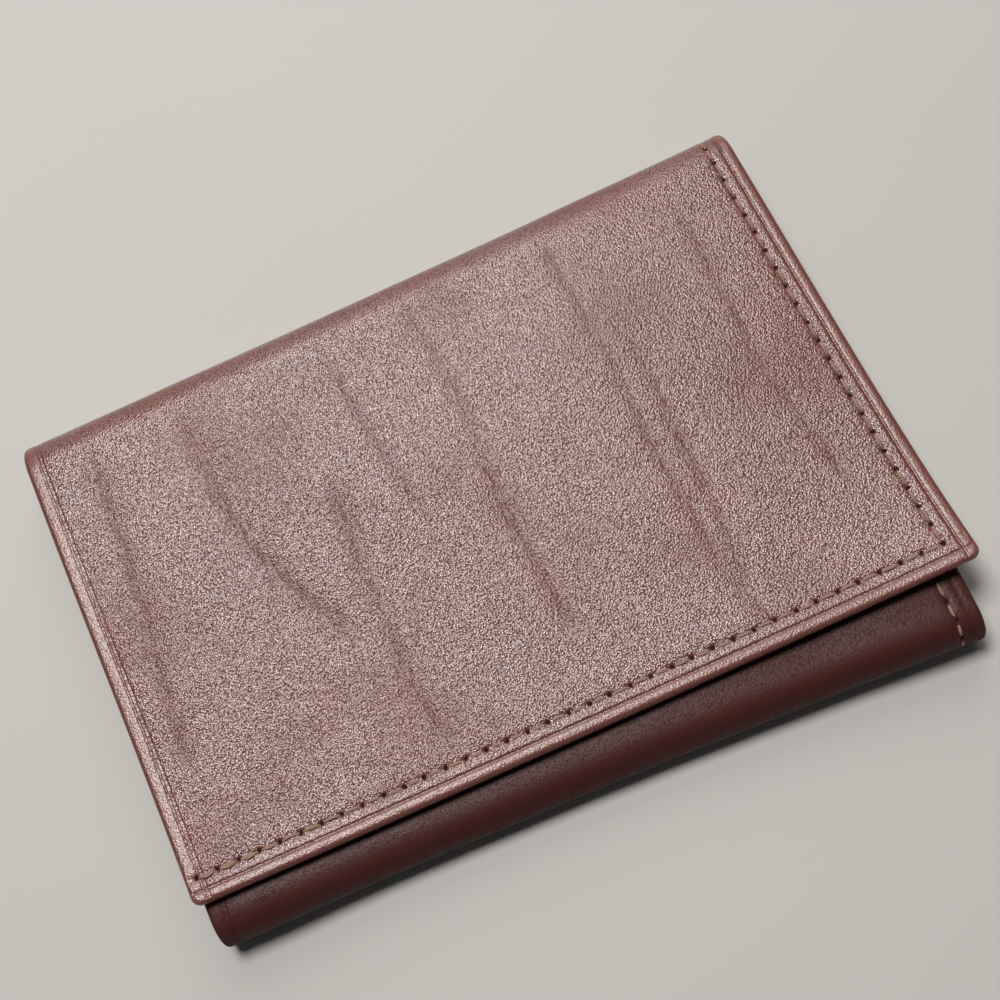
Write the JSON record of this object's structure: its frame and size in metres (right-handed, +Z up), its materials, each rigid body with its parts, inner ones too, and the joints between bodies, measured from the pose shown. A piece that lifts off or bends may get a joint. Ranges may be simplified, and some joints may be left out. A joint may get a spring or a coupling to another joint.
{
  "type": "business card case",
  "caption": "Flap-over leather case for business cards, with a gusseted pocket, a folded spine that the flap turns on and a sewn edge.",
  "frame": {"origin": "bottom centre of the closed case, on the face that it lies on", "axes": "+X from the folded left edge to the stitched right edge, +Y from the bottom fold to the spine, +Z up through the closed flap"},
  "size_m": [0.104, 0.0706, 0.0095],
  "materials": {
    "leather_outside": "grained, semi-gloss",
    "leather_lining": "smooth, satin",
    "gusset_leather": "smooth, satin",
    "stiffening_board": "matt bonded fibre board",
    "needle_thread": "matt spun polyester",
    "bobbin_thread": "matt spun polyester"
  },
  "bodies": {
    "case": {"back_outer": "leather_outside", "back_lining": "leather_lining", "back_board": "stiffening_board", "back_needle_thread": "needle_thread", "back_bobbin_thread": "bobbin_thread", "fold_outer": "leather_outside", "fold_lining": "leather_lining", "fold_needle_thread": "needle_thread", "fold_bobbin_thread": "bobbin_thread", "pocket_outer": "leather_outside", "pocket_lining": "leather_lining", "pocket_board": "stiffening_board", "pocket_needle_thread": "needle_thread", "pocket_bobbin_thread": "bobbin_thread", "gusset_left": "gusset_leather", "gusset_right": "gusset_leather"},
    "spine": {"spine_outer": "leather_outside", "spine_lining": "leather_lining", "spine_needle_thread": "needle_thread", "spine_bobbin_thread": "bobbin_thread"},
    "flap": {"flap_outer": "leather_outside", "flap_lining": "leather_lining", "flap_board": "stiffening_board", "flap_needle_thread": "needle_thread", "flap_bobbin_thread": "bobbin_thread"}
  },
  "joints": [
    {"name": "spine_fold", "type": "hinge", "parent": "case", "child": "spine", "pos_m": [0, 0.03423, 0.00102], "axis": [-1, 0, 0], "range_deg": [0, 90], "deforming": ["spine_outer", "spine_lining", "spine_needle_thread", "spine_bobbin_thread"]},
    {"name": "flap_fold", "type": "hinge", "parent": "spine", "child": "flap", "pos_m": [0, 0.03423, 0.00848], "axis": [-1, 0, 0], "range_deg": [0, 90]}
  ],
  "couplings": [
    {"joint": "flap_fold", "follows": "spine_fold", "ratio": 1}
  ]
}
